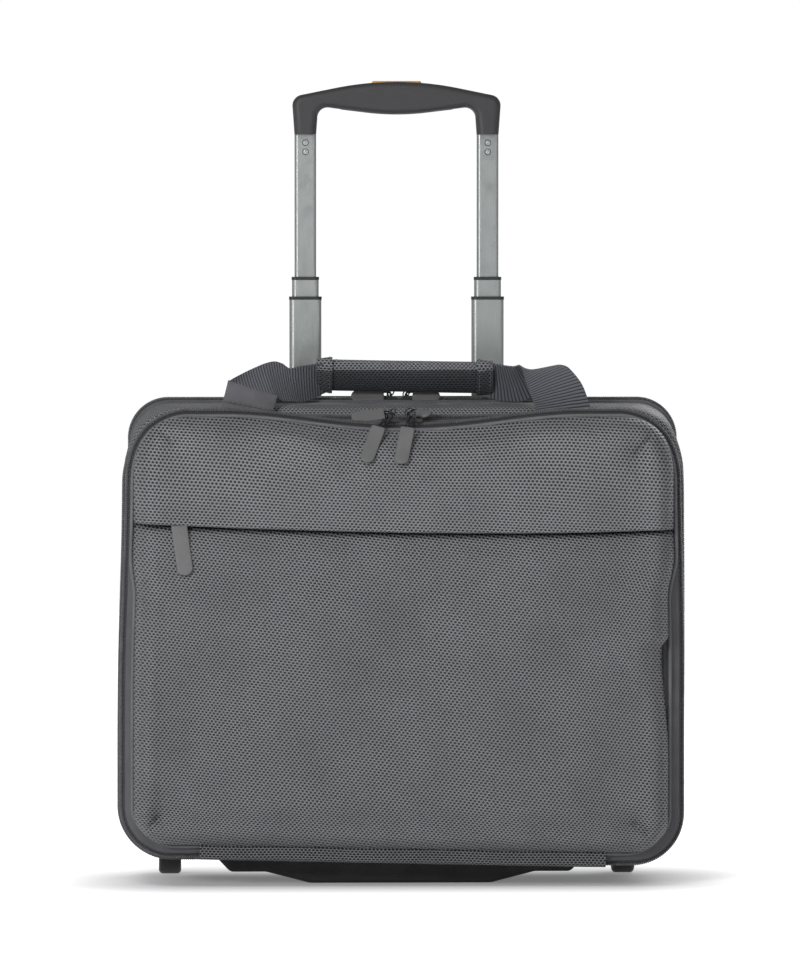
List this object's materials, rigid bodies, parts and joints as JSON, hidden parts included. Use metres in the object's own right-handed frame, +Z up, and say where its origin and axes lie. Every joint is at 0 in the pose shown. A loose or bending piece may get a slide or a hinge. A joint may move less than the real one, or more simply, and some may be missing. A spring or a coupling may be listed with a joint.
{
  "type": "rolling laptop case",
  "caption": "Grey woven two-wheeled laptop case with zipped sections, a front pocket, a padded carrying handle and a telescoping pull handle.",
  "frame": {"origin": "on the floor under the middle of the case's bounding box", "axes": "+Z up, the front lid faces -Y, +X to the right seen from the front"},
  "size_m": [0.4224, 0.2035, 0.6046],
  "materials": {
    "light_mesh": "woven grey polyester",
    "dark_mesh": "open woven polyester",
    "smooth_nylon": "smooth coated nylon",
    "dark_lining": "thin lining",
    "zip_tape": "woven tape with a nylon coil",
    "webbing": "ribbed webbing",
    "black_plastic": "fine grain",
    "board": "plain sheet",
    "grip_plastic": "fine grain",
    "button_plastic": "smooth",
    "hub_plastic": "smooth",
    "tyre": "worn rubber",
    "tube": "satin anodised",
    "steel": "plain",
    "rivet": "bright",
    "rod": "plain",
    "slider": "black coated",
    "pull": "moulded, on a dark wire link"
  },
  "bodies": {
    "rear_section": {"rear_shell": "light_mesh", "rear_zip_back_half": "zip_tape", "back_board": "board", "outer_tubes": "tube", "foot_bracket": "black_plastic", "top_bezel": "black_plastic", "wheel_housing_left": "black_plastic", "wheel_housing_right": "black_plastic", "axles": "steel"},
    "main_section": {"main_shell": "light_mesh", "laptop_divider": "dark_lining", "middle_zip_back_half": "zip_tape", "rear_zip_front_half": "zip_tape", "rear_hinge_strip": "dark_mesh", "skid_foot": "black_plastic", "handle_patches": "webbing"},
    "document_section": {"document_shell": "smooth_nylon", "front_zip_case_half": "zip_tape", "middle_zip_front_half": "zip_tape", "middle_hinge_strip": "dark_mesh"},
    "lid": {"lid_shell": "light_mesh", "upper_front_panel": "light_mesh", "front_pocket_panel": "light_mesh", "pocket_zip_tapes": "zip_tape", "front_zip_lid_half": "zip_tape", "front_hinge_strip": "dark_mesh"},
    "first_stage": {"first_stage_tubes": "tube", "first_stage_fittings": "black_plastic"},
    "second_stage": {"second_stage_tubes": "tube", "second_stage_fittings": "black_plastic"},
    "third_stage": {"third_stage_tubes": "tube", "third_stage_fittings": "black_plastic", "grip_body": "grip_plastic", "grip_cover": "grip_plastic", "rivets": "rivet", "button_spring": "steel"},
    "button": {"release_button": "button_plastic", "release_rods": "rod"},
    "wheel_left": {"tyre_left": "tyre", "hub_left": "hub_plastic"},
    "wheel_right": {"tyre_right": "tyre", "hub_right": "hub_plastic"},
    "carrying_handle": {"handle_wrap": "dark_mesh", "handle_strap_left": "webbing", "handle_strap_right": "webbing"},
    "front_slider_left": {"front_zip_slider_left": "slider"},
    "front_pull_left": {"front_zip_pull_left": "pull"},
    "front_slider_right": {"front_zip_slider_right": "slider"},
    "front_pull_right": {"front_zip_pull_right": "pull"},
    "middle_slider_left": {"middle_zip_slider_left": "slider"},
    "middle_pull_left": {"middle_zip_pull_left": "pull"},
    "middle_slider_right": {"middle_zip_slider_right": "slider"},
    "middle_pull_right": {"middle_zip_pull_right": "pull"},
    "rear_slider_left": {"rear_zip_slider_left": "slider"},
    "rear_pull_left": {"rear_zip_pull_left": "pull"},
    "rear_slider_right": {"rear_zip_slider_right": "slider"},
    "rear_pull_right": {"rear_zip_pull_right": "pull"},
    "pocket_slider": {"pocket_zip_slider": "slider"},
    "pocket_pull": {"pocket_zip_pull": "pull"}
  },
  "joints": [
    {"name": "main_opening", "type": "hinge", "parent": "rear_section", "child": "main_section", "pos_m": [0, 0.026, 0.0186], "axis": [1, 0, 0], "range_deg": [0, 80]},
    {"name": "document_opening", "type": "hinge", "parent": "main_section", "child": "document_section", "pos_m": [0, -0.037, 0.0186], "axis": [1, 0, 0], "range_deg": [0, 60]},
    {"name": "lid_opening", "type": "hinge", "parent": "document_section", "child": "lid", "pos_m": [0, -0.063, 0.0186], "axis": [1, 0, 0], "range_deg": [0, 60]},
    {"name": "first_slide", "type": "slide", "parent": "rear_section", "child": "first_stage", "axis": [0, 0, 1], "range_m": [-0.107, 0.116]},
    {"name": "second_slide", "type": "slide", "parent": "first_stage", "child": "second_stage", "axis": [0, 0, 1], "range_m": [-0.012, 0.2]},
    {"name": "third_slide", "type": "slide", "parent": "second_stage", "child": "third_stage", "axis": [0, 0, 1], "range_m": [-0.107, 0.095]},
    {"name": "button_press", "type": "slide", "parent": "third_stage", "child": "button", "axis": [0, 0, -1], "range_m": [0, 0.0028], "stiffness_N_per_m": 600, "springref_m": -0.004, "deforming": ["button_spring"]},
    {"name": "wheel_left_spin", "type": "hinge", "parent": "rear_section", "child": "wheel_left", "pos_m": [-0.173, 0.073, 0.026], "axis": [1, 0, 0], "continuous": true},
    {"name": "wheel_right_spin", "type": "hinge", "parent": "rear_section", "child": "wheel_right", "pos_m": [0.173, 0.073, 0.026], "axis": [1, 0, 0], "continuous": true},
    {"name": "handle_swing", "type": "hinge", "parent": "main_section", "child": "carrying_handle", "pos_m": [0, -0.021, 0.35525], "axis": [1, 0, 0], "range_deg": [-2, 95]},
    {"name": "front_slider_left_slide", "type": "slide", "parent": "lid", "child": "front_slider_left", "axis": [1, 0, 0], "range_m": [-0.145, 0.0025]},
    {"name": "front_pull_left_hinge", "type": "hinge", "parent": "front_slider_left", "child": "front_pull_left", "pos_m": [-0.009, -0.063, 0.3516], "axis": [0.9632, -0.2679, -0.0234], "range_deg": [-110, 0]},
    {"name": "front_slider_right_slide", "type": "slide", "parent": "lid", "child": "front_slider_right", "axis": [1, 0, 0], "range_m": [-0.0025, 0.145]},
    {"name": "front_pull_right_hinge", "type": "hinge", "parent": "front_slider_right", "child": "front_pull_right", "pos_m": [0.009, -0.063, 0.3516], "axis": [0.9903, -0.1386, -0.0121], "range_deg": [-110, 0]},
    {"name": "middle_slider_left_slide", "type": "slide", "parent": "document_section", "child": "middle_slider_left", "axis": [1, 0, 0], "range_m": [-0.145, 0.0025]},
    {"name": "middle_pull_left_hinge", "type": "hinge", "parent": "middle_slider_left", "child": "middle_pull_left", "pos_m": [-0.009, -0.037, 0.3516], "axis": [0, -1, 0], "range_deg": [-85, 0]},
    {"name": "middle_slider_right_slide", "type": "slide", "parent": "document_section", "child": "middle_slider_right", "axis": [1, 0, 0], "range_m": [-0.0025, 0.145]},
    {"name": "middle_pull_right_hinge", "type": "hinge", "parent": "middle_slider_right", "child": "middle_pull_right", "pos_m": [0.009, -0.037, 0.3516], "axis": [0, 1, 0], "range_deg": [-85, 0]},
    {"name": "rear_slider_left_slide", "type": "slide", "parent": "main_section", "child": "rear_slider_left", "axis": [1, 0, 0], "range_m": [-0.145, 0.0025]},
    {"name": "rear_pull_left_hinge", "type": "hinge", "parent": "rear_slider_left", "child": "rear_pull_left", "pos_m": [-0.009, 0.026, 0.3666], "axis": [0, -1, 0], "range_deg": [-85, 0]},
    {"name": "rear_slider_right_slide", "type": "slide", "parent": "main_section", "child": "rear_slider_right", "axis": [1, 0, 0], "range_m": [-0.0025, 0.145]},
    {"name": "rear_pull_right_hinge", "type": "hinge", "parent": "rear_slider_right", "child": "rear_pull_right", "pos_m": [0.009, 0.026, 0.3666], "axis": [0, 1, 0], "range_deg": [-85, 0]},
    {"name": "pocket_slider_slide", "type": "slide", "parent": "lid", "child": "pocket_slider", "axis": [1, 0, 0], "range_m": [-0.005, 0.345]},
    {"name": "pocket_pull_hinge", "type": "hinge", "parent": "pocket_slider", "child": "pocket_pull", "pos_m": [-0.17, -0.1024, 0.272], "axis": [1, 0, 0], "range_deg": [-100, 2]}
  ]
}
